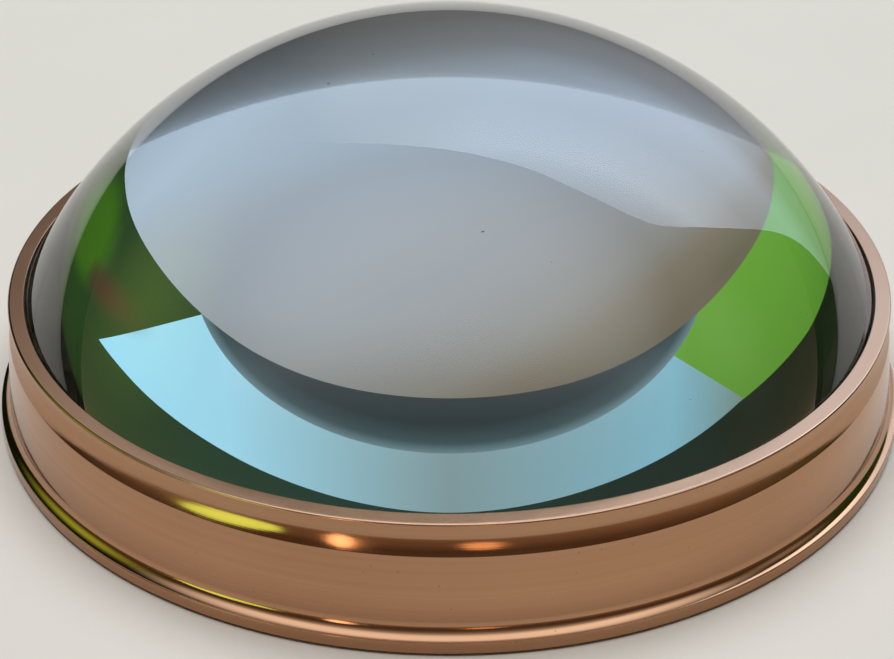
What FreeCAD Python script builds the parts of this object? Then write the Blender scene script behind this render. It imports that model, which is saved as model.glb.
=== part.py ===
"""Dome magnifier: a solid glass dome held in a turned brass ring, to be slid over a page.

Every piece is round about +Z. The origin is the centre of the footprint, on the page, and +Z is
up. The glass goes into the bezel ring from below, against a thin seat gasket under the lip. The
base ring screws in after it and holds it there, on a cushion washer. A felt ring is let into the
underside of the foot.
"""
import FreeCAD, Part
import os
from collections import namedtuple

import Sketcher

# The driving sizes, in millimetres: name, value, meaning.
SIZES = (
    ("foot_radius", 47.5, "outside of the foot, and of the flared edge above it"),
    ("foot_lift", 0.25, "brass foot above the page"),
    ("seam_height", 1.45, "joint between the base ring and the bezel ring"),
    ("edge_break", 0.08, "bevel along the seam and the foot"),
    ("flare_height", 1.62, "lower end of the bezel's concave flare"),
    ("wall_radius", 46.45, "bezel wall where the flare runs into it"),
    ("wall_foot_height", 3.12, "top of the flare, foot of the wall"),
    ("shoulder_radius", 46.0, "sharp edge at the top of the wall"),
    ("shoulder_height", 10.1, "height of that edge"),
    ("cove_curve", 8.0, "radius of the shallow cove above the edge"),
    ("cove_top_radius", 45.37, "where the cove runs into the bend below the collar"),
    ("cove_top_height", 11.46, "height of that place"),
    ("collar_radius", 45.18, "plain collar above the bend"),
    ("collar_foot_height", 12.55, "top of the bend, foot of the collar"),
    ("lip_radius", 45.9, "outside of the lip"),
    ("lip_root_height", 13.05, "underside of the lip at the collar"),
    ("lip_edge_height", 13.35, "underside of the lip at its outside"),
    ("lip_round", 0.28, "round on the outside of the lip"),
    ("lip_fall", 0.07, "fall of the lip's top towards the outside"),
    ("mouth_radius", 44.45, "opening of the lip at its foot"),
    ("mouth_top_radius", 44.22, "opening of the lip at its top, closing in with the dome"),
    ("mouth_round", 0.1, "round on the inside of the lip"),
    ("rim_height", 13.73, "top of the lip"),
    ("seat_height", 13.25, "inside corner of the lip, which stops the glass"),
    ("bore_top", 12.95, "top of the bore that the glass stands in"),
    ("bore_radius", 44.75, "bore that the glass stands in"),
    ("thread_radius", 45.5, "wider bore of the bezel's thread"),
    ("thread_top", 4.6, "top of that bore"),
    ("thread_gap", 0.05, "clearance of the base ring's spigot in the thread"),
    ("spigot_top", 4.4, "top of the base ring's spigot"),
    ("opening_radius", 41.6, "opening under the glass"),
    ("shelf_height", 1.25, "shelf that carries the glass"),
    ("notch_width", 3.0, "width of a spanner notch"),
    ("notch_reach", 1.5, "run of a notch into the shelf"),
    ("notch_height", 0.6, "height of a notch in the shelf"),
    ("notch_count", 2, "spanner notches round the opening"),
    ("lens_radius", 44.65, "ground edge of the glass"),
    ("lens_bevel", 0.5, "bevel round the flat face"),
    ("dome_radius", 50.2, "radius of the polished dome"),
    ("dome_height", 39.75, "top of the dome above the page"),
    ("gasket_bottom", 12.7, "lower edge of the seat gasket"),
    ("gasket_top", 13.45, "upper edge of the gasket, below the lip's top"),
    ("gasket_top_radius", 44.3, "outer radius of the gasket's upper edge"),
    ("gasket_gap", 0.02, "clearance round the seat gasket"),
    ("washer_inner", 42.4, "inside of the cushion washer"),
    ("washer_outer", 44.4, "outside of the cushion washer"),
    ("washer_thickness", 0.3, "thickness of the cushion washer"),
    ("felt_inner", 44.1, "inside of the felt ring"),
    ("felt_outer", 46.8, "outside of the felt ring"),
    ("felt_thickness", 0.6, "thickness of the felt ring"),
    ("felt_gap", 0.1, "clearance beside the felt in its recess"),
)
SIZE_NAMES = {name for name, _, _ in SIZES}

# A corner of a half section: radius and height in the sheet's own sizes. With a curve, the edge
# to the next corner is an arc of that radius, bulging left (+1) or right (-1) of its run.
Corner = namedtuple("Corner", "radius height curve side", defaults=(None, 0))

# The sphere's centre lies below the page.
DOME_CENTRE = "( dome_height - dome_radius )"


def make_sheet(doc):
    """One named cell for each driving size."""
    sheet = doc.addObject("Spreadsheet::Sheet", "Sizes")
    for row, (name, value, meaning) in enumerate(SIZES, start=1):
        sheet.set(f"A{row}", name)
        sheet.set(f"B{row}", str(value))
        sheet.set(f"C{row}", meaning)
        sheet.setAlias(f"B{row}", name)
    doc.recompute()
    return sheet


def bound(formula):
    """The formula as an expression on the sheet's cells. Its words stand apart by spaces."""
    return " ".join(f"Sizes.{word}" if word in SIZE_NAMES else word for word in formula.split())


def tangent_curve(across, along):
    """Formula for the radius of an arc that starts along one run and moves off across it."""
    return f"( ( {across} ) ^ 2 + ( {along} ) ^ 2 ) / ( 2 * ( {across} ) )"


def height_on_dome(radius, clearance="0"):
    """Formula for the height of the dome, or of a shell that far outside it, at a radius."""
    return f"{DOME_CENTRE} + sqrt( ( dome_radius + {clearance} ) ^ 2 - ( {radius} ) ^ 2 )"


def radius_on_dome(height, clearance):
    """Formula for the radius, at a height, of a shell that far outside the dome."""
    return f"sqrt( ( dome_radius + {clearance} ) ^ 2 - ( {height} - {DOME_CENTRE} ) ^ 2 )"


def arc_between(start, end, radius, side):
    """Arc of the given radius between two points, bulging to one side of its run."""
    chord = end - start
    left = FreeCAD.Vector(-chord.y, chord.x, 0).normalize()
    sagitta = radius - (radius**2 - (chord.Length / 2) ** 2) ** 0.5
    crown = (start + end) * 0.5 + left * (sagitta * side)
    return Part.Arc(start, crown, end)


def origin_plane(body, role):
    """One of the body's own origin planes."""
    return next(item for item in body.Origin.OriginFeatures if item.Role == role)


def new_sketch(body, name, role):
    """Empty sketch on one of the body's origin planes."""
    sketch = body.newObject("Sketcher::SketchObject", name)
    sketch.AttachmentSupport = [(origin_plane(body, role), "")]
    sketch.MapMode = "FlatFace"
    return sketch


def drive(sketch, constraint, formula):
    """Add a dimension to the sketch and bind it to the sheet."""
    index = sketch.addConstraint(constraint)
    sketch.setExpression(f"Constraints[{index}]", bound(formula))


def half_section(sheet, body, corners):
    """Closed half section in the body's XZ plane. Every corner and curve is bound to the sheet."""
    sketch = new_sketch(body, f"{body.Name}_section", "XZ_Plane")
    points = [
        FreeCAD.Vector(
            sheet.evalExpression(bound(corner.radius)),
            sheet.evalExpression(bound(corner.height)),
            0,
        )
        for corner in corners
    ]
    ends = []
    for edge, corner in enumerate(corners):
        start, end = points[edge], points[(edge + 1) % len(points)]
        if corner.curve:
            radius = sheet.evalExpression(bound(corner.curve))
            sketch.addGeometry(arc_between(start, end, radius, corner.side), False)
        else:
            sketch.addGeometry(Part.LineSegment(start, end), False)
        forward = sketch.getPoint(edge, 1).distanceToPoint(start) < 1e-6
        ends.append((1, 2) if forward else (2, 1))
    for edge, corner in enumerate(corners):
        following = (edge + 1) % len(corners)
        sketch.addConstraint(
            Sketcher.Constraint("Coincident", edge, ends[edge][1], following, ends[following][0])
        )
        vertex = ends[edge][0]
        place(sketch, "DistanceX", edge, vertex, points[edge].x, corner.radius)
        place(sketch, "DistanceY", edge, vertex, points[edge].y, corner.height)
        if corner.curve:
            radius = sheet.evalExpression(bound(corner.curve))
            drive(sketch, Sketcher.Constraint("Radius", edge, radius), corner.curve)
    return sketch


def place(sketch, kind, edge, vertex, distance, formula):
    """Hold a corner at its distance from the axis or the page, or on that line itself."""
    if abs(distance) < 1e-9:
        line = -2 if kind == "DistanceX" else -1
        sketch.addConstraint(Sketcher.Constraint("PointOnObject", edge, vertex, line))
    else:
        drive(sketch, Sketcher.Constraint(kind, -1, 1, edge, vertex, distance), formula)


def turned(doc, sheet, name, corners):
    """Body turned from a half section about +Z."""
    body = doc.addObject("PartDesign::Body", name)
    sketch = half_section(sheet, body, corners)
    turning = body.newObject("PartDesign::Revolution", f"{name}_turning")
    turning.Profile = sketch
    turning.ReferenceAxis = (sketch, ["V_Axis"])
    turning.Angle = 360
    body.Tip = turning
    return body


def make_dome_lens(doc, sheet):
    """Solid plano-convex glass: flat face, small bevel, ground edge and polished dome."""
    base = "shelf_height + washer_thickness"
    return turned(doc, sheet, "dome_lens", (
        Corner("0", base),
        Corner("lens_radius - lens_bevel", base),
        Corner("lens_radius", f"{base} + lens_bevel"),
        Corner("lens_radius", height_on_dome("lens_radius"), "dome_radius", -1),
        Corner("0", "dome_height"),
    ))


def make_bezel_ring(doc, sheet):
    """Turned brass ring, from the seam up: flare, wall, cove, collar and lip, then the bores."""
    bend_curve = tangent_curve("cove_top_radius - collar_radius", "collar_foot_height - cove_top_height")
    flare_curve = tangent_curve("foot_radius - wall_radius", "wall_foot_height - flare_height")
    wall_curve = tangent_curve("wall_radius - shoulder_radius", "shoulder_height - wall_foot_height")
    return turned(doc, sheet, "bezel_ring", (
        Corner("thread_radius", "seam_height"),
        Corner("foot_radius - edge_break", "seam_height"),
        Corner("foot_radius", "seam_height + edge_break"),
        Corner("foot_radius", "flare_height", flare_curve, 1),
        Corner("wall_radius", "wall_foot_height", wall_curve, -1),
        Corner("shoulder_radius", "shoulder_height", "cove_curve", 1),
        Corner("cove_top_radius", "cove_top_height", bend_curve, 1),
        Corner("collar_radius", "collar_foot_height"),
        Corner("collar_radius", "lip_root_height"),
        Corner("lip_radius", "lip_edge_height"),
        Corner("lip_radius", "rim_height - lip_fall - lip_round", "lip_round", -1),
        Corner("lip_radius - lip_round", "rim_height - lip_fall"),
        Corner("mouth_top_radius + mouth_round", "rim_height", "mouth_round", -1),
        Corner("mouth_top_radius", "rim_height - mouth_round"),
        Corner("mouth_radius", "seat_height"),
        Corner("bore_radius", "bore_top"),
        Corner("bore_radius", "thread_top"),
        Corner("thread_radius", "thread_top"),
    ))


def make_base_ring(doc, sheet):
    """Brass foot with its screwed spigot, the shelf for the glass and two spanner notches."""
    spigot = "thread_radius - thread_gap"
    recess_inner = "felt_inner - felt_gap"
    recess_outer = "felt_outer + felt_gap"
    body = turned(doc, sheet, "base_ring", (
        Corner("opening_radius", "foot_lift"),
        Corner(recess_inner, "foot_lift"),
        Corner(recess_inner, "felt_thickness"),
        Corner(recess_outer, "felt_thickness"),
        Corner(recess_outer, "foot_lift"),
        Corner("foot_radius - edge_break", "foot_lift"),
        Corner("foot_radius", "foot_lift + edge_break"),
        Corner("foot_radius", "seam_height - edge_break"),
        Corner("foot_radius - edge_break", "seam_height"),
        Corner(spigot, "seam_height"),
        Corner(spigot, "spigot_top"),
        Corner("bore_radius", "spigot_top"),
        Corner("bore_radius", "shelf_height"),
        Corner("opening_radius", "shelf_height"),
    ))
    doc.recompute()
    cut_notches(doc, sheet, body)
    return body


def cut_notches(doc, sheet, body):
    """Spanner notches in the underside of the shelf, open towards the axis."""
    whole = body.Shape.Volume
    near, far = "opening_radius - notch_reach", "opening_radius + notch_reach"
    left, right = (sheet.evalExpression(bound(formula)) for formula in (near, far))
    half = sheet.evalExpression(bound("notch_width / 2"))
    corners = [
        FreeCAD.Vector(x, y, 0)
        for x, y in ((left, -half), (right, -half), (right, half), (left, half))
    ]

    outline = new_sketch(body, "notch_outline", "XY_Plane")
    bottom, outer_end, top, inner_end = (
        outline.addGeometry(Part.LineSegment(corners[index], corners[(index + 1) % 4]), False)
        for index in range(4)
    )
    for edge in (bottom, outer_end, top, inner_end):
        outline.addConstraint(Sketcher.Constraint("Coincident", edge, 2, (edge + 1) % 4, 1))
    outline.addConstraint(Sketcher.Constraint("Horizontal", bottom))
    outline.addConstraint(Sketcher.Constraint("Horizontal", top))
    outline.addConstraint(Sketcher.Constraint("Vertical", inner_end))
    outline.addConstraint(Sketcher.Constraint("Symmetric", outer_end, 1, outer_end, 2, -1))
    drive(outline, Sketcher.Constraint("DistanceX", -1, 1, bottom, 1, left), near)
    drive(outline, Sketcher.Constraint("DistanceX", -1, 1, bottom, 2, right), far)
    drive(outline, Sketcher.Constraint("DistanceY", outer_end, 1, outer_end, 2, 2 * half), "notch_width")

    notch = body.newObject("PartDesign::Pocket", "notch")
    notch.Profile = outline
    notch.Type = "Length"
    notch.Reversed = True
    notch.setExpression("Length", bound("foot_lift + notch_height"))

    notches = body.newObject("PartDesign::PolarPattern", "notches")
    notches.Originals = [notch]
    notches.Axis = (outline, ["N_Axis"])
    notches.Angle = 360
    notches.setExpression("Occurrences", bound("notch_count"))
    body.Tip = notches
    doc.recompute()
    if body.Shape.Volume >= whole:
        raise RuntimeError("the spanner notches cut nothing")


def make_seat_gasket(doc, sheet):
    """Thin ring that fills the wedge between the dome, the bore and the lip."""
    outer = "bore_radius - gasket_gap"
    mouth = "mouth_radius - gasket_gap"
    return turned(doc, sheet, "seat_gasket", (
        Corner(radius_on_dome("gasket_bottom", "gasket_gap"), "gasket_bottom"),
        Corner(outer, "gasket_bottom"),
        Corner(outer, "bore_top - gasket_gap"),
        Corner(mouth, "seat_height - gasket_gap"),
        Corner("gasket_top_radius", "gasket_top"),
        Corner(radius_on_dome("gasket_top", "gasket_gap"), "gasket_top", "dome_radius + gasket_gap", 1),
    ))


def make_flat_ring(doc, name, inner, outer, bottom, thickness):
    """Flat ring: a disc less its middle."""
    disc = doc.addObject("Part::Cylinder", f"{name}_disc")
    disc.setExpression("Radius", bound(outer))
    middle = doc.addObject("Part::Cylinder", f"{name}_middle")
    middle.setExpression("Radius", bound(inner))
    for cylinder in (disc, middle):
        cylinder.setExpression("Height", bound(thickness))
        cylinder.setExpression("Placement.Base.z", bound(bottom))
    ring = doc.addObject("Part::Cut", name)
    ring.Base = disc
    ring.Tool = middle
    return ring


def check(doc, pieces):
    """Stop if any object failed or any piece is not one sound solid."""
    for item in doc.Objects:
        if "Invalid" in item.State or "Error" in item.State:
            raise RuntimeError(f"{item.Label} failed: {item.State}")
    for piece in pieces:
        shape = piece.Shape
        if shape.isNull() or not shape.isValid() or len(shape.Solids) != 1:
            raise RuntimeError(f"{piece.Label} is not one sound solid")
        print(f"{piece.Label}: {shape.Volume / 1000:.2f} cm3")


def main():
    doc = FreeCAD.newDocument("dome_magnifier")
    sheet = make_sheet(doc)
    pieces = [
        make_dome_lens(doc, sheet),
        make_seat_gasket(doc, sheet),
        make_bezel_ring(doc, sheet),
        make_base_ring(doc, sheet),
        make_flat_ring(
            doc, "cushion_washer", "washer_inner", "washer_outer", "shelf_height", "washer_thickness"
        ),
        make_flat_ring(doc, "felt_ring", "felt_inner", "felt_outer", "0", "felt_thickness"),
    ]
    doc.recompute()
    for piece in pieces:
        piece.Label = piece.Name
        piece.Placement = FreeCAD.Placement()
    doc.recompute()
    check(doc, pieces)
    os.makedirs("parts", exist_ok=True)
    for piece in pieces:
        piece.Shape.exportStep(f"parts/{piece.Label}.step")


main()
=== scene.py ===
import math
import random

import bpy
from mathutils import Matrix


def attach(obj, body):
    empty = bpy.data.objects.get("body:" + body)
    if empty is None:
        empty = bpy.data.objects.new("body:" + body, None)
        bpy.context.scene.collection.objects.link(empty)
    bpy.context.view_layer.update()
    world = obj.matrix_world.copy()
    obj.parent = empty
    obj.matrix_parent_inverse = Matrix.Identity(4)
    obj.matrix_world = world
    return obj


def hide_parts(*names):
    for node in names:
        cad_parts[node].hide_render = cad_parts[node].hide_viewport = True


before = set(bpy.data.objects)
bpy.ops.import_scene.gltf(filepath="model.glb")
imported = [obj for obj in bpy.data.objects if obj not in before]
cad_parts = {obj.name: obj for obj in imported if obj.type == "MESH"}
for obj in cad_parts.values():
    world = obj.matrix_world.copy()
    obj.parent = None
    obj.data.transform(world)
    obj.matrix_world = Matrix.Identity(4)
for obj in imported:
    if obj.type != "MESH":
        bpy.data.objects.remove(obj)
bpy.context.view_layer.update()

# --- Sizes, in millimetres ------------------------------------------------------------------
MM = 0.001
SEGMENTS = 360

FOOT_RADIUS, FOOT_LIFT, SEAM_HEIGHT, EDGE_BREAK = 47.5, 0.25, 1.45, 0.08
FLARE_HEIGHT = 1.62
WALL_RADIUS, WALL_FOOT_HEIGHT = 46.45, 3.12
SHOULDER_RADIUS, SHOULDER_HEIGHT, COVE_CURVE = 46.0, 10.1, 8.0
COVE_TOP_RADIUS, COVE_TOP_HEIGHT = 45.37, 11.46
COLLAR_RADIUS, COLLAR_FOOT_HEIGHT = 45.18, 12.55
LIP_RADIUS, LIP_ROOT_HEIGHT, LIP_EDGE_HEIGHT, LIP_ROUND, LIP_FALL = 45.9, 13.05, 13.35, 0.28, 0.07
MOUTH_RADIUS, MOUTH_TOP_RADIUS, MOUTH_ROUND = 44.45, 44.22, 0.1
RIM_HEIGHT, SEAT_HEIGHT = 13.73, 13.25
BORE_RADIUS, BORE_TOP, THREAD_RADIUS, THREAD_TOP, THREAD_GAP = 44.75, 12.95, 45.5, 4.6, 0.05
SPIGOT_TOP, OPENING_RADIUS, SHELF_HEIGHT = 4.4, 41.6, 1.25
NOTCH_REACH, NOTCH_HEIGHT = 1.5, 0.6
LENS_RADIUS, LENS_BEVEL, DOME_RADIUS, DOME_HEIGHT = 44.65, 0.5, 50.2, 39.75
GASKET_BOTTOM, GASKET_TOP, GASKET_TOP_RADIUS, GASKET_GAP = 12.7, 13.45, 44.3, 0.02
WASHER_INNER, WASHER_OUTER, WASHER_THICKNESS = 42.4, 44.4, 0.3
FELT_INNER, FELT_OUTER, FELT_THICKNESS, FELT_GAP = 44.1, 46.8, 0.6, 0.1

# Air between the flat glass and the washer, so that the flat stays a mirror from inside.
AIR_FILM = 0.01

DOME_CENTRE = DOME_HEIGHT - DOME_RADIUS
LENS_BASE = SHELF_HEIGHT + WASHER_THICKNESS


def dome_height_at(radius, clearance=0.0):
    return DOME_CENTRE + math.sqrt((DOME_RADIUS + clearance) ** 2 - radius**2)


def dome_radius_at(height, clearance):
    return math.sqrt((DOME_RADIUS + clearance) ** 2 - (height - DOME_CENTRE) ** 2)


# --- Camera ----------------------------------------------------------------------------------
CAMERA_SENSOR, CAMERA_LENS, CAMERA_SHIFT = 36.0, 105.2, -0.0026
CAMERA_PLACE = (0.0, -0.2380, 0.1497)
CAMERA_FALL = 31.03  # degrees below the horizon that it looks

camera_data = bpy.data.cameras.new("camera")
camera_data.sensor_width = CAMERA_SENSOR
camera_data.lens = CAMERA_LENS
camera_data.shift_x = CAMERA_SHIFT
camera_data.clip_start = 0.01
camera = bpy.data.objects.new("camera", camera_data)
camera.location = CAMERA_PLACE
camera.rotation_euler = (math.radians(90 - CAMERA_FALL), 0.0, 0.0)
bpy.context.scene.collection.objects.link(camera)
bpy.context.scene.camera = camera


# --- Turned shapes ---------------------------------------------------------------------------
def line(start, end, steps=1):
    """Straight run of an outline: points with the outward normal to the right of the run."""
    run, rise = end[0] - start[0], end[1] - start[1]
    length = math.hypot(run, rise)
    normal = (rise / length, -run / length)
    return [
        (start[0] + run * step / steps, start[1] + rise * step / steps, *normal)
        for step in range(steps + 1)
    ]


def arc(start, end, radius, side, steps):
    """Arc of an outline, bulging right (+1) or left (-1) of its run."""
    run, rise = end[0] - start[0], end[1] - start[1]
    chord = math.hypot(run, rise)
    reach = math.sqrt(radius**2 - (chord / 2) ** 2)
    middle = ((start[0] + end[0]) / 2, (start[1] + end[1]) / 2)
    left = (-rise / chord, run / chord)
    centre = (middle[0] + left[0] * reach * side, middle[1] + left[1] * reach * side)
    first = math.atan2(start[1] - centre[1], start[0] - centre[0])
    last = math.atan2(end[1] - centre[1], end[0] - centre[0])
    turn = (last - first + math.pi) % (2 * math.pi) - math.pi
    points = []
    for step in range(steps + 1):
        angle = first + turn * step / steps
        outward = (math.cos(angle), math.sin(angle))
        points.append((
            centre[0] + outward[0] * radius,
            centre[1] + outward[1] * radius,
            outward[0] * side,
            outward[1] * side,
        ))
    return points


def lathe(name, runs, slots=None, cuts=None):
    """Mesh turned about +Z from an outline given as runs, with exact normals on every face.

    slots gives each run's material slot; cuts gives, for one outline point, the place it
    takes between two pairs of section angles.
    """
    points, spans = [], []
    along = 0.0
    for index, run in enumerate(runs):
        for step in range(len(run)):
            radius, height, *normal = run[step]
            if step == 0:
                if not points:
                    points.append((radius, height, along))
                continue
            before = run[step - 1]
            along += math.hypot(radius - before[0], height - before[1])
            closing = (
                index == len(runs) - 1
                and step == len(run) - 1
                and math.hypot(radius - points[0][0], height - points[0][1]) < 1e-6
            )
            last = len(points) - 1
            if not closing:
                points.append((radius, height, along))
            following = 0 if closing else len(points) - 1
            spans.append((last, following, before[2:], tuple(normal), index))

    angles = [2 * math.pi * step / SEGMENTS for step in range(SEGMENTS)]
    vertices, travel, ids = [], [], {}

    def vertex(point, section, cut=False):
        radius, height, distance = points[point]
        if cut:
            radius, height = cuts["place"]
        key = (point, section if radius > 1e-6 else 0, cut)
        if key not in ids:
            ids[key] = len(vertices)
            angle = angles[section]
            vertices.append((
                radius * math.cos(angle) * MM, radius * math.sin(angle) * MM, height * MM
            ))
            travel.append(distance)
        return ids[key]

    def inside_cut(section):
        return cuts is not None and section in cuts["sections"]

    faces, normals, materials = [], [], []
    for section in range(SEGMENTS):
        following = (section + 1) % SEGMENTS
        is_cut = inside_cut(section)
        for first, second, normal_first, normal_second, run in spans:
            cut_first = is_cut and first == cuts["point"]
            cut_second = is_cut and second == cuts["point"]
            corners = [
                (vertex(first, section, cut_first), normal_first, section),
                (vertex(first, following, cut_first), normal_first, following),
                (vertex(second, following, cut_second), normal_second, following),
                (vertex(second, section, cut_second), normal_second, section),
            ]
            kept = []
            for corner in corners:
                if corner[0] not in [other[0] for other in kept]:
                    kept.append(corner)
            faces.append([corner[0] for corner in kept])
            if cut_first or cut_second:
                a, b, c = (vertices[corner[0]] for corner in kept[:3])
                u = [q - p for p, q in zip(a, b)]
                v = [q - p for p, q in zip(a, c)]
                cross = (
                    u[1] * v[2] - u[2] * v[1], u[2] * v[0] - u[0] * v[2], u[0] * v[1] - u[1] * v[0]
                )
                size = math.sqrt(sum(value * value for value in cross))
                normals.extend([tuple(value / size for value in cross)] * len(kept))
            else:
                for _, (across, up), place in kept:
                    angle = angles[place]
                    normals.append((across * math.cos(angle), across * math.sin(angle), up))
            materials.append(slots[run] if slots else 0)
        if cuts is not None and is_cut != inside_cut(section - 1 if section else SEGMENTS - 1):
            ring = [
                vertex(cuts["point"] - 1, section),
                vertex(cuts["point"], section),
                vertex(cuts["point"] + 1, section),
                vertex(cuts["point"], section, True),
            ]
            angle = angles[section]
            facing = 1 if is_cut else -1
            faces.append(ring[::-1] if is_cut else ring)
            normals.extend([(-math.sin(angle) * facing, math.cos(angle) * facing, 0.0)] * 4)
            materials.append(0)

    mesh = bpy.data.meshes.new(name)
    mesh.from_pydata(vertices, [], faces)
    mesh.polygons.foreach_set("material_index", materials)
    mesh.polygons.foreach_set("use_smooth", [True] * len(faces))
    layer = mesh.attributes.new("travel", "FLOAT", "POINT")
    layer.data.foreach_set("value", travel)
    mesh.normals_split_custom_set(normals)
    mesh.update()
    piece = bpy.data.objects.new(name, mesh)
    bpy.context.scene.collection.objects.link(piece)
    return piece


# --- Materials -------------------------------------------------------------------------------
class Look:
    """One procedural material, or the world, built node by node."""

    def __init__(self, block, output="ShaderNodeOutputMaterial"):
        block.use_nodes = True
        self.block = block
        self.tree = block.node_tree
        self.tree.nodes.clear()
        self.output = self.tree.nodes.new(output)

    def node(self, kind, inputs=(), **settings):
        node = self.tree.nodes.new(kind)
        for key, value in settings.items():
            setattr(node, key, value)
        for key, value in dict(inputs).items():
            if isinstance(value, bpy.types.NodeSocket):
                self.tree.links.new(value, node.inputs[key])
            else:
                node.inputs[key].default_value = value
        return node

    def maths(self, operation, first, second=0.0, clamp=False):
        return self.node(
            "ShaderNodeMath", {0: first, 1: second}, operation=operation, use_clamp=clamp
        ).outputs[0]

    def place(self):
        return self.node("ShaderNodeTexCoord").outputs["Object"]

    def attribute(self, name):
        return self.node("ShaderNodeAttribute", attribute_name=name).outputs["Fac"]

    def stretched(self, sideways, upward, along):
        """Object place scaled on its own in X and Y, and by an outline distance."""
        split = self.node("ShaderNodeSeparateXYZ", {0: self.place()})
        return self.node("ShaderNodeCombineXYZ", {
            "X": self.maths("MULTIPLY", split.outputs["X"], sideways),
            "Y": self.maths("MULTIPLY", split.outputs["Y"], sideways),
            "Z": self.maths("MULTIPLY", along, upward),
        }).outputs[0]

    def noise(self, vector, scale, detail=2.0, roughness=0.5):
        return self.node("ShaderNodeTexNoise", {
            "Vector": vector, "Scale": scale, "Detail": detail, "Roughness": roughness,
        }).outputs["Fac"]

    def cells(self, vector, scale):
        return self.node("ShaderNodeTexVoronoi", {"Vector": vector, "Scale": scale})

    def span(self, value, low, high, to_low=0.0, to_high=1.0):
        return self.node("ShaderNodeMapRange", {
            "Value": value, "From Min": low, "From Max": high, "To Min": to_low, "To Max": to_high,
        }).outputs[0]

    def blend(self, amount, first, second):
        node = self.tree.nodes.new("ShaderNodeMix")
        node.data_type = "RGBA"
        for key, value in ((0, amount), (6, first), (7, second)):
            if isinstance(value, bpy.types.NodeSocket):
                self.tree.links.new(value, node.inputs[key])
            else:
                node.inputs[key].default_value = value
        return node.outputs[2]

    def bump(self, height, strength, distance, before=None):
        inputs = {"Height": height, "Strength": strength, "Distance": distance}
        if before is not None:
            inputs["Normal"] = before
        return self.node("ShaderNodeBump", inputs).outputs[0]

    def shader(self, inputs):
        node = self.node("ShaderNodeBsdfPrincipled", inputs)
        self.tree.links.new(node.outputs[0], self.output.inputs["Surface"])
        return node


WORN_LIT_FROM, WORN_LIT_TO = 13.40, 13.52  # heights between which the brass turns to the rougher worn lip with its painted highlight


def brass(name):
    """Mirror-polished turned brass: turning lines, hairlines, smudges, and a rougher worn lip whose
    paler colour is a painted highlight.
    """
    look = Look(bpy.data.materials.new(name))
    travel = look.attribute("travel")
    place = look.place()
    height = look.node("ShaderNodeSeparateXYZ", {0: place}).outputs["Z"]
    fine = look.noise(look.stretched(4.0, 9.0, travel), 1.0, 3.0, 0.7)
    broad = look.noise(look.stretched(6.0, 2.2, travel), 1.0, 2.0, 0.6)
    lines = look.maths("ADD", look.maths("MULTIPLY", fine, 0.5), look.maths("MULTIPLY", broad, 0.5))
    swell = look.noise(place, 130.0, 1.0, 0.5)
    smudge = look.noise(place, 90.0, 4.0, 0.6)
    patch = look.noise(place, 28.0, 2.0, 0.5)
    hair = look.cells(look.stretched(260.0, 1.6, travel), 1.0).outputs["Distance"]
    hairline = look.span(hair, 0.015, 0.05, 1.0, 0.0)
    speck = look.span(look.cells(place, 520.0).outputs["Distance"], 0.03, 0.06, 1.0, 0.0)
    # Mask of the lip: it gets a rougher worn finish, and a paler colour that is a painted
    # highlight.
    worn_lit_lip = look.span(height, WORN_LIT_FROM * MM, WORN_LIT_TO * MM)

    colour = look.blend(
        look.span(patch, 0.35, 0.65), (0.390, 0.203, 0.112, 1), (0.440, 0.238, 0.133, 1)
    )
    colour = look.blend(
        look.maths("MULTIPLY", look.span(lines, 0.35, 0.65), 0.4), colour, (0.50, 0.29, 0.175, 1)
    )
    # Paler lip colour: a painted highlight standing in for the light the lip mirrors from above.
    colour = look.blend(worn_lit_lip, colour, (0.47, 0.285, 0.185, 1))
    colour = look.blend(look.maths("MULTIPLY", speck, 0.45), colour, (0.13, 0.07, 0.04, 1))
    colour = look.blend(look.maths("MULTIPLY", hairline, 0.4), colour, (0.70, 0.50, 0.34, 1))
    roughness = look.maths(
        "ADD",
        look.span(smudge, 0.40, 0.75, 0.045, 0.15),
        look.span(lines, 0.3, 0.7, 0.0, 0.04),
    )
    roughness = look.maths("ADD", roughness, look.maths("MULTIPLY", worn_lit_lip, 0.12))
    look.shader({
        "Base Color": colour,
        "Metallic": 1.0,
        "Roughness": roughness,
        "Normal": look.bump(lines, 0.32, 0.00002, look.bump(swell, 0.3, 0.00005)),
    })
    return look.block


def glass(name):
    """Clear crown glass with a slight grey-green cast in its depth and a few dust specks."""
    look = Look(bpy.data.materials.new(name))
    place = look.place()
    specks = look.cells(place, 400.0)
    chance = look.node("ShaderNodeSeparateColor", {0: specks.outputs["Color"]}).outputs[0]
    dust = look.maths(
        "MULTIPLY",
        look.span(specks.outputs["Distance"], 0.035, 0.055, 1.0, 0.0),
        look.maths("GREATER_THAN", chance, 0.88),
    )
    cast = look.span(look.noise(place, 34.0, 3.0, 0.55), 0.35, 0.65)
    tone = look.blend(cast, (0.975, 0.995, 0.985, 1), (0.99, 1.0, 1.0, 1))
    look.shader({
        "Base Color": look.blend(dust, tone, (0.16, 0.15, 0.13, 1)),
        "Roughness": 0.0,
        "IOR": 1.52,
        "Transmission Weight": look.maths("SUBTRACT", 1.0, dust),
    })
    absorb = look.node("ShaderNodeVolumeAbsorption", {
        "Color": (0.78, 0.83, 0.83, 1), "Density": 8.0,
    })
    look.tree.links.new(absorb.outputs[0], look.output.inputs["Volume"])
    return look.block


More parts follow.
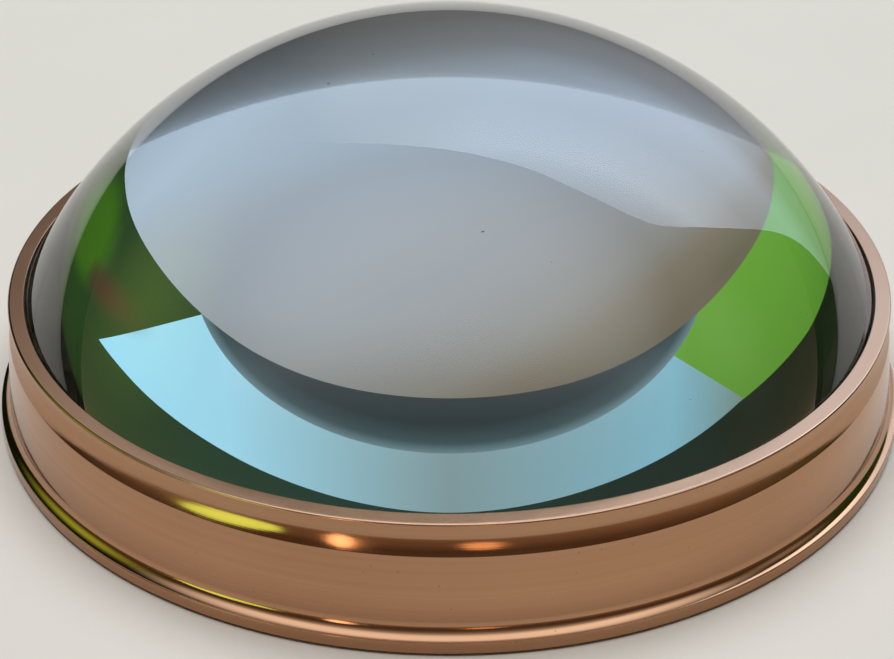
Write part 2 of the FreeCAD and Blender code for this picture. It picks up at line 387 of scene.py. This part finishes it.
def ground_glass(name, dark, light):
    """Matt ground edge of the lens, seen from inside the glass."""
    look = Look(bpy.data.materials.new(name))
    place = look.place()
    grain = look.noise(place, 3000.0, 3.0, 0.6)
    split = look.node("ShaderNodeSeparateXYZ", {0: place})
    strokes = look.node("ShaderNodeCombineXYZ", {
        "X": split.outputs["X"], "Y": split.outputs["Y"],
        "Z": look.maths("MULTIPLY", split.outputs["Z"], 0.22),
    }).outputs[0]
    patch = look.noise(strokes, 210.0, 5.0, 0.66)
    look.shader({
        "Base Color": look.blend(look.span(patch, 0.36, 0.66), dark, light),
        "Roughness": look.span(grain, 0.3, 0.7, 0.55, 0.8),
        "Normal": look.bump(grain, 0.5, 0.00003),
    })
    return look.block


def rubber(name):
    """Matt black rubber with a fine grain."""
    look = Look(bpy.data.materials.new(name))
    grain = look.noise(look.place(), 4000.0, 3.0, 0.6)
    tone = look.blend(
        look.span(grain, 0.3, 0.7), (0.010, 0.009, 0.008, 1), (0.022, 0.020, 0.018, 1)
    )
    look.shader({
        "Base Color": tone,
        "Roughness": look.span(grain, 0.3, 0.7, 0.55, 0.75),
        "Normal": look.bump(grain, 0.4, 0.00003),
    })
    return look.block


def felt(name):
    """Dark green pressed felt: matted fibres and soft sheen."""
    look = Look(bpy.data.materials.new(name))
    place = look.place()
    fibre = look.noise(place, 2600.0, 5.0, 0.7)
    clump = look.noise(place, 500.0, 3.0, 0.6)
    tone = look.blend(
        look.span(fibre, 0.3, 0.7), (0.020, 0.075, 0.045, 1), (0.050, 0.150, 0.090, 1)
    )
    height = look.maths("ADD", fibre, look.maths("MULTIPLY", clump, 0.6))
    look.shader({
        "Base Color": tone,
        "Roughness": look.span(clump, 0.3, 0.7, 0.88, 1.0),
        "Sheen Weight": 0.5,
        "Sheen Roughness": 0.5,
        "Normal": look.bump(height, 0.8, 0.00015),
    })
    return look.block


# --- Pieces ----------------------------------------------------------------------------------
def tangent_curve(across, along):
    return (across**2 + along**2) / (2 * across)


def chain(corners):
    """Outline runs from corners (radius, height[, curve, side, steps]), closed."""
    runs = []
    for index, corner in enumerate(corners):
        start, end = corner[:2], corners[(index + 1) % len(corners)][:2]
        if len(corner) > 2:
            runs.append(arc(start, end, *corner[2:]))
        else:
            runs.append(line(start, end))
    return runs


def finish_piece(piece, node, slot, *materials):
    for material in materials:
        piece.data.materials.append(material)
    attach(piece, "root")
    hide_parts(node)


brass_look = brass("polished_brass")
foot_look = brass("foot_brass")

flare_curve = tangent_curve(FOOT_RADIUS - WALL_RADIUS, WALL_FOOT_HEIGHT - FLARE_HEIGHT)
wall_curve = tangent_curve(WALL_RADIUS - SHOULDER_RADIUS, SHOULDER_HEIGHT - WALL_FOOT_HEIGHT)
bend_curve = tangent_curve(COVE_TOP_RADIUS - COLLAR_RADIUS, COLLAR_FOOT_HEIGHT - COVE_TOP_HEIGHT)
bezel = lathe("bezel_turned", chain([
    (THREAD_RADIUS, SEAM_HEIGHT),
    (FOOT_RADIUS - EDGE_BREAK, SEAM_HEIGHT, EDGE_BREAK, 1, 4),
    (FOOT_RADIUS, SEAM_HEIGHT + EDGE_BREAK),
    (FOOT_RADIUS, FLARE_HEIGHT, flare_curve, -1, 24),
    (WALL_RADIUS, WALL_FOOT_HEIGHT, wall_curve, 1, 20),
    (SHOULDER_RADIUS, SHOULDER_HEIGHT, COVE_CURVE, -1, 12),
    (COVE_TOP_RADIUS, COVE_TOP_HEIGHT, bend_curve, -1, 12),
    (COLLAR_RADIUS, COLLAR_FOOT_HEIGHT),
    (COLLAR_RADIUS, LIP_ROOT_HEIGHT),
    (LIP_RADIUS, LIP_EDGE_HEIGHT),
    (LIP_RADIUS, RIM_HEIGHT - LIP_FALL - LIP_ROUND, LIP_ROUND, 1, 10),
    (LIP_RADIUS - LIP_ROUND, RIM_HEIGHT - LIP_FALL),
    (MOUTH_TOP_RADIUS + MOUTH_ROUND, RIM_HEIGHT, MOUTH_ROUND, 1, 5),
    (MOUTH_TOP_RADIUS, RIM_HEIGHT - MOUTH_ROUND),
    (MOUTH_RADIUS, SEAT_HEIGHT),
    (BORE_RADIUS, BORE_TOP),
    (BORE_RADIUS, THREAD_TOP),
    (THREAD_RADIUS, THREAD_TOP),
]))
finish_piece(bezel, "bezel_ring", "polished_brass", brass_look)

spigot = THREAD_RADIUS - THREAD_GAP
recess_inner, recess_outer = FELT_INNER - FELT_GAP, FELT_OUTER + FELT_GAP
notch_top = FOOT_LIFT + NOTCH_HEIGHT
NOTCH_SECTIONS = {358, 359, 0, 1, 178, 179, 180, 181}
base = lathe(
    "base_turned",
    chain([
        (OPENING_RADIUS, notch_top),
        (OPENING_RADIUS, FOOT_LIFT),
        (OPENING_RADIUS + NOTCH_REACH, FOOT_LIFT),
        (recess_inner, FOOT_LIFT),
        (recess_inner, FELT_THICKNESS),
        (recess_outer, FELT_THICKNESS),
        (recess_outer, FOOT_LIFT),
        (FOOT_RADIUS - EDGE_BREAK, FOOT_LIFT, EDGE_BREAK, 1, 4),
        (FOOT_RADIUS, FOOT_LIFT + EDGE_BREAK),
        (FOOT_RADIUS, SEAM_HEIGHT - EDGE_BREAK, EDGE_BREAK, 1, 4),
        (FOOT_RADIUS - EDGE_BREAK, SEAM_HEIGHT),
        (spigot, SEAM_HEIGHT),
        (spigot, SPIGOT_TOP),
        (BORE_RADIUS, SPIGOT_TOP),
        (BORE_RADIUS, SHELF_HEIGHT),
        (OPENING_RADIUS, SHELF_HEIGHT),
    ]),
    cuts={
        "point": 1, "place": (OPENING_RADIUS + NOTCH_REACH, notch_top), "sections": NOTCH_SECTIONS
    },
)
finish_piece(base, "base_ring", "foot_brass", foot_look)

# Bands of faces up the outline of the glass. The chips reach up through the first band of the dome.
FLAT_BANDS, BEVEL_BANDS, EDGE_BANDS, CHIP_BANDS, DOME_BANDS = 8, 2, 6, 6, 90
CHIP_WIDTH = 0.2
CHIP_FALL, CHIP_RISE, CHIP_MOST, CHIP_LEAST = -0.9, 0.85, 5.5, 0.035
edge_top = dome_height_at(LENS_RADIUS)
chip_radius = LENS_RADIUS - CHIP_WIDTH
chip_top = dome_height_at(chip_radius)
chip_band = (chip_top - edge_top) / CHIP_BANDS
bevel_top = LENS_BASE + LENS_BEVEL
dome = lathe(
    "dome_glass",
    [
        line((0, LENS_BASE), (LENS_RADIUS - LENS_BEVEL, LENS_BASE), FLAT_BANDS),
        line((LENS_RADIUS - LENS_BEVEL, LENS_BASE), (LENS_RADIUS, bevel_top), BEVEL_BANDS),
        line((LENS_RADIUS, bevel_top), (LENS_RADIUS, edge_top), EDGE_BANDS),
        arc((LENS_RADIUS, edge_top), (chip_radius, chip_top), DOME_RADIUS, 1, CHIP_BANDS),
        arc((chip_radius, chip_top), (0, DOME_HEIGHT), DOME_RADIUS, 1, DOME_BANDS),
    ],
    slots=[0, 2, 1, 0, 0],
)
bands = FLAT_BANDS + BEVEL_BANDS + EDGE_BANDS + CHIP_BANDS + DOME_BANDS
chips = random.Random(7)
depth = 0.0
for section in range(SEGMENTS):
    depth = min(max(depth + chips.uniform(CHIP_FALL, CHIP_RISE), 0.0), CHIP_MOST)
    for polygon in dome.data.polygons[section * bands:(section + 1) * bands]:
        heights = [dome.data.vertices[corner].co.z / MM for corner in polygon.vertices]
        height = sum(heights) / len(heights)
        if edge_top < height < edge_top + CHIP_LEAST + depth * chip_band:
            polygon.material_index = 1
finish_piece(
    dome, "dome_lens", "lens_glass",
    glass("lens_glass"),
    ground_glass("ground_edge", (0.05, 0.045, 0.035, 1), (0.52, 0.49, 0.43, 1)),
    ground_glass("ground_bevel", (0.035, 0.045, 0.038, 1), (0.075, 0.085, 0.075, 1)),
)

gasket_mouth = MOUTH_RADIUS - GASKET_GAP
gasket = lathe("gasket_turned", chain([
    (dome_radius_at(GASKET_BOTTOM, GASKET_GAP), GASKET_BOTTOM),
    (BORE_RADIUS - GASKET_GAP, GASKET_BOTTOM),
    (BORE_RADIUS - GASKET_GAP, BORE_TOP - GASKET_GAP),
    (gasket_mouth, SEAT_HEIGHT - GASKET_GAP),
    (GASKET_TOP_RADIUS, GASKET_TOP),
    (dome_radius_at(GASKET_TOP, GASKET_GAP), GASKET_TOP, DOME_RADIUS + GASKET_GAP, -1, 4),
]))
finish_piece(gasket, "seat_gasket", "gasket_rubber", rubber("gasket_rubber"))

washer = lathe("washer_cut", chain([
    (WASHER_INNER, SHELF_HEIGHT),
    (WASHER_OUTER, SHELF_HEIGHT),
    (WASHER_OUTER, LENS_BASE - AIR_FILM),
    (WASHER_INNER, LENS_BASE - AIR_FILM),
]))
finish_piece(washer, "cushion_washer", "washer_rubber", rubber("washer_rubber"))

felt_piece = lathe("felt_cut", chain([
    (FELT_INNER, 0),
    (FELT_OUTER, 0),
    (FELT_OUTER, FELT_THICKNESS),
    (FELT_INNER, FELT_THICKNESS),
]))
finish_piece(felt_piece, "felt_ring", "felt", felt("felt"))


# --- Studio ----------------------------------------------------------------------------------
def plane(name, corners, material):
    mesh = bpy.data.meshes.new(name)
    mesh.from_pydata(corners, [], [tuple(range(len(corners)))])
    mesh.materials.append(material)
    thing = bpy.data.objects.new(name, mesh)
    bpy.context.scene.collection.objects.link(thing)
    return thing


FLOOR_REACH = 2.0
floor_look = Look(bpy.data.materials.new("floor_paper"))
paper = floor_look.noise(floor_look.place(), 40.0, 5.0, 0.6)
floor_look.shader({
    "Base Color": floor_look.blend(paper, (0.80, 0.79, 0.765, 1), (0.84, 0.83, 0.805, 1)),
    "Roughness": 0.75,
    "Specular IOR Level": 0.2,
})
plane("floor", [
    (x * FLOOR_REACH, y * FLOOR_REACH, 0) for x, y in ((-1, -1), (1, -1), (1, 1), (-1, 1))
], floor_look.block)


def direction(azimuth, elevation, distance):
    """Place seen from the object at an azimuth from straight behind it, and an elevation."""
    az, el = math.radians(azimuth), math.radians(elevation)
    return (
        distance * math.sin(az) * math.cos(el),
        distance * math.cos(az) * math.cos(el),
        distance * math.sin(el),
    )


def aim(thing, azimuth, elevation, distance):
    thing.location = direction(azimuth, elevation, distance)
    thing.rotation_euler = (math.radians(90 - elevation), 0, math.radians(180 - azimuth))


def ellipse(half_width, half_height, corners=96):
    return [
        (half_width * math.cos(turn), half_height * math.sin(turn), 0.0)
        for turn in (2 * math.pi * corner / corners for corner in range(corners))
    ]


def ramp_of(look, value, stops):
    """Colour ramp over a value; stops: (place, colour)."""
    low, high = stops[0][0], stops[-1][0]
    ramp = look.node("ShaderNodeValToRGB", {0: look.span(value, low, high)})
    while len(ramp.color_ramp.elements) < len(stops):
        ramp.color_ramp.elements.new(0.5)
    for element, (place, colour) in zip(ramp.color_ramp.elements, stops):
        element.position = (place - low) / (high - low)
        element.color = (*colour, 1)
    return ramp.outputs["Color"]


def glow(name, axis, stops, rim=None, second=None):
    """Softbox cloth: its light changes along the panel's X or Y, or with REACH from its middle.

    rim: half width and half height of an elliptical panel, and the share of them from which the
    cloth thins out to nothing. second: weights of X and Y, and a ramp over their sum that
    multiplies the light.
    """
    look = Look(bpy.data.materials.new(name))
    split = look.node("ShaderNodeSeparateXYZ", {0: look.place()})
    reach = None
    if rim is not None:
        across = look.maths("DIVIDE", split.outputs["X"], rim[0])
        upward = look.maths("DIVIDE", split.outputs["Y"], rim[1])
        reach = look.maths("SQRT", look.maths(
            "ADD", look.maths("MULTIPLY", across, across), look.maths("MULTIPLY", upward, upward)
        ))
    colour = ramp_of(look, reach if axis == "REACH" else split.outputs[axis], stops)
    if second is not None:
        slant = look.maths(
            "ADD",
            look.maths("MULTIPLY", split.outputs["X"], second[0]),
            look.maths("MULTIPLY", split.outputs["Y"], second[1]),
        )
        colour = look.node("ShaderNodeVectorMath", {
            0: colour, 1: ramp_of(look, slant, second[2]),
        }, operation="MULTIPLY").outputs[0]
    cloth = look.node("ShaderNodeEmission", {"Color": colour, "Strength": 1.0})
    if rim is not None and rim[2] < 1.0:
        fade = look.node("ShaderNodeMapRange", {
            "Value": reach, "From Min": rim[2], "From Max": 1.0, "To Min": 0.0, "To Max": 1.0,
        }, interpolation_type="SMOOTHSTEP")
        clear = look.node("ShaderNodeBsdfTransparent")
        cloth = look.node("ShaderNodeMixShader", {
            0: fade.outputs[0], 1: cloth.outputs[0], 2: clear.outputs[0],
        })
    look.tree.links.new(cloth.outputs[0], look.output.inputs["Surface"])
    look.block.cycles.emission_sampling = "NONE"
    return look.block


def softbox(name, azimuth, elevation, distance, width, height, radiance, colour):
    """Area light aimed at the object. It lights the floor, and no mirror or glass shows it."""
    data = bpy.data.lights.new(name, "AREA")
    data.shape = "RECTANGLE"
    data.size, data.size_y = width, height
    data.energy = radiance * width * height * math.pi
    data.color = colour
    light = bpy.data.objects.new(name, data)
    aim(light, azimuth, elevation, distance)
    light.visible_glossy = False
    light.visible_transmission = False
    bpy.context.scene.collection.objects.link(light)


def outlined(azimuth, elevation, distance, sights):
    """Corners, in a panel's own plane, that are seen in the given directions."""
    az, el = math.radians(azimuth), math.radians(elevation)
    outward = direction(azimuth, elevation, 1.0)
    across = (-math.cos(az), math.sin(az), 0.0)
    upward = (-math.sin(az) * math.sin(el), -math.cos(az) * math.sin(el), math.cos(el))
    corners = []
    for sight in sights:
        ray = direction(*sight, 1.0)
        reach = distance / sum(p * q for p, q in zip(ray, outward))
        corners.append((
            sum(p * q for p, q in zip(ray, across)) * reach,
            sum(p * q for p, q in zip(ray, upward)) * reach,
            0.0,
        ))
    return corners


def smooth(knots, steps=8):
    """Points along a smooth curve through the knots."""
    ends = [knots[0]] + list(knots) + [knots[-1]]
    points = []
    for before, first, second, after in zip(ends, ends[1:], ends[2:], ends[3:]):
        for step in range(steps):
            t = step / steps
            points.append(tuple(
                0.5 * (2 * p1 + (p2 - p0) * t + (2 * p0 - 5 * p1 + 4 * p2 - p3) * t**2
                       + (3 * p1 - p0 - 3 * p2 + p3) * t**3)
                for p0, p1, p2, p3 in zip(before, first, second, after)
            ))
    return points + [tuple(knots[-1])]


def panel(name, azimuth, elevation, distance, corners, material, glossy):
    """Glowing panel. A glossy one is mirrored by surfaces, any other is seen through the glass."""
    thing = plane(name, corners, material)
    aim(thing, azimuth, elevation, distance)
    thing.visible_camera = False
    thing.visible_glossy = glossy
    thing.visible_transmission = not glossy
    thing.visible_diffuse = False
    thing.visible_shadow = False


# Outlines as the directions, azimuth and elevation, in which their corners are seen.
HOOD_SIDE = [
    (88, 60), (75, 46), (62, 41), (50, 38), (35, 33.8), (22, 29.6), (15, 27.6), (8, 26.4),
]
HOOD_EDGE = smooth(HOOD_SIDE + [(0, 26)] + [(-azimuth, up) for azimuth, up in HOOD_SIDE[::-1]])
panel("hood", 0, 57, 2.0, outlined(0, 57, 2.0, HOOD_EDGE), glow("hood_cloth", "Y", [
    (-1.2, (0.270, 0.262, 0.245)),
    (-0.93, (0.325, 0.330, 0.340)),
    (-0.61, (0.345, 0.355, 0.375)),
    (-0.35, (0.360, 0.395, 0.435)),
    (1.2, (0.380, 0.410, 0.450)),
], second=(0.8, -1.0, [
    (-0.6, (1.50, 1.68, 1.86)),
    (0.45, (1.12, 1.20, 1.30)),
    (0.95, (1.0, 1.0, 1.0)),
    (1.15, (0.90, 0.86, 0.77)),
    (1.30, (0.74, 0.62, 0.45)),
    (1.50, (0.54, 0.46, 0.30)),
])), glossy=False)
panel("flag", 0, 40, 2.5, ellipse(1.02, 0.84), glow("flag_cloth", "REACH", [
    (0.0, (0.010, 0.020, 0.022)),
    (0.86, (0.012, 0.028, 0.032)),
    (0.95, (0.045, 0.085, 0.095)),
    (1.0, (0.16, 0.26, 0.29)),
], rim=(1.02, 0.84, 1.0)), glossy=False)

STRIP_FOOT = smooth([
    (42, 20.8), (36, 20.2), (30, 19.3), (22, 18.1), (15, 17.0), (7, 16.0), (0, 15.6), (-7, 16.0),
    (-15, 17.0), (-22, 18.2), (-29, 19.7),
])
STRIP = STRIP_FOOT + [(-17, 29), (22, 30.5)]
panel("cool_panel", 0, 22, 2.8, outlined(0, 22, 2.8, STRIP), glow("cool_cloth", "X", [
    (-2.4, (0.45, 0.98, 1.25)),
    (-0.9, (0.42, 0.80, 0.98)),
    (0.0, (0.26, 0.37, 0.39)),
    (0.9, (0.26, 0.54, 0.66)),
    (1.5, (0.20, 0.26, 0.20)),
]), glossy=False)

CARD = [(-16, 28), (-28, 19.5), (-45, 20.5), (-60, 21), (-78, 19), (-78, 48), (-45, 48), (-16, 44)]
panel("side_card", -48, 30, 3.0, outlined(-48, 30, 3.0, CARD), glow("card_cloth", "Y", [
    (-0.6, (0.125, 0.33, 0.035)),
    (0.2, (0.16, 0.42, 0.050)),
    (0.8, (0.20, 0.46, 0.12)),
]), glossy=False)

panel("overhead", 180, 66, 2.0, ellipse(3.2, 2.2), glow("overhead_cloth", "Y", [
    (-1.40, (0.30, 0.30, 0.29)),
    (-0.89, (0.50, 0.50, 0.49)),
    (-0.50, (1.00, 1.02, 1.04)),
    (-0.21, (1.70, 1.80, 1.90)),
    (0.0, (1.90, 2.05, 2.20)),
    (2.2, (1.90, 2.05, 2.20)),
], rim=(3.2, 2.2, 0.25)), glossy=True)
SHEET_EDGE = smooth([
    (50, -2), (49.3, 1.7), (49.7, 7.4), (52.9, 15.2), (59.0, 26.1), (63.9, 35.3), (67.5, 42.6),
    (68.7, 47.1), (67.4, 51.3), (64.6, 55.1), (59.3, 59.3), (51.7, 62.9), (39.7, 66.0),
    (25.6, 68.0), (10.4, 68.5), (-4.4, 67.4), (-16.8, 64.9), (-26.1, 61.1), (-33.7, 55.8),
    (-37.3, 49.7), (-39, 42), (-38, 30), (-35, 10), (-32, -2),
])
panel("sheet", 16, 33, 1.9, outlined(16, 33, 1.9, SHEET_EDGE), glow("sheet_cloth", "X", [
    (-1.5, (1.45, 1.70, 2.10)),
    (-0.6, (1.40, 1.70, 2.20)),
    (0.1, (1.20, 1.45, 1.80)),
    (0.46, (0.92, 1.02, 1.12)),
    (0.80, (0.70, 0.72, 0.74)),
    (0.95, (0.60, 0.60, 0.60)),
    (1.3, (0.05, 0.05, 0.05)),
], second=(-0.5, 1.0, [
    (-1.2, (0.25, 0.205, 0.170)),
    (-0.5, (0.52, 0.47, 0.42)),
    (-0.1, (1.0, 1.0, 1.0)),
    (0.5, (1.15, 1.15, 1.15)),
    (1.2, (2.1, 2.05, 1.95)),
    (1.45, (1.6, 1.6, 1.55)),
    (1.75, (1.15, 1.15, 1.15)),
])), glossy=True)
softbox("fill", 0, 80, 2.0, 2.0, 1.65, 3.9, (1.0, 0.995, 0.985))


CARD_DISTANCE = 2.4


def card(name, azimuth, elevation, half_width, half_height, start, colour, glossy=True):
    """Coloured card beside the object, fading to its rim."""
    panel(
        name, azimuth, elevation, CARD_DISTANCE, ellipse(half_width, half_height),
        glow(name + "_cloth", "Y", [
            (-half_height, colour), (half_height, colour)
        ], rim=(half_width, half_height, start)),
        glossy=glossy,
    )


card("leaf_card", 56, 31, 0.55, 0.36, 0.5, (0.060, 0.175, 0.014), glossy=False)
card("warm_card", 42, 27, 0.50, 0.14, 0.1, (0.085, 0.050, 0.028), glossy=False)
card("left_card", -78, 27, 1.25, 1.0, 0.0, (0.65, 1.00, 0.11))
card("right_card", 90, 30, 0.75, 0.8, 0.0, (0.50, 0.46, 0.42))
card("front_left_card", -128, 8, 0.60, 0.27, 0.85, (1.7, 2.7, 0.60))
card("lamp_left", -155, 11, 0.13, 0.37, 0.9, (4.4, 3.0, 1.9))
card("lamp_right", 172.5, 10, 0.22, 0.2, 0.8, (2.0, 1.2, 0.65))

sky = Look(bpy.data.worlds.new("studio"), "ShaderNodeOutputWorld")
toward = sky.node("ShaderNodeSeparateXYZ", {0: sky.node("ShaderNodeTexCoord").outputs["Generated"]})
front = ramp_of(sky, toward.outputs["Z"], [
    (0.0, (0.36, 0.25, 0.165)),
    (0.28, (0.125, 0.082, 0.052)),
])
back = ramp_of(sky, toward.outputs["X"], [
    (-0.7, (0.008, 0.014, 0.007)),
    (0.1, (0.018, 0.046, 0.036)),
    (0.8, (0.030, 0.076, 0.016)),
])
room = sky.blend(sky.span(toward.outputs["Y"], -0.5, 0.4), front, back)
glowing = sky.node("ShaderNodeBackground", {"Color": room, "Strength": 1.0})
sky.tree.links.new(glowing.outputs[0], sky.output.inputs["Surface"])
bpy.context.scene.world = sky.block
bpy.context.scene.view_settings.view_transform = "Standard"
bpy.context.scene.cycles.transmission_bounces = 16
bpy.context.scene.cycles.max_bounces = 20
bpy.context.scene.cycles.glossy_bounces = 8
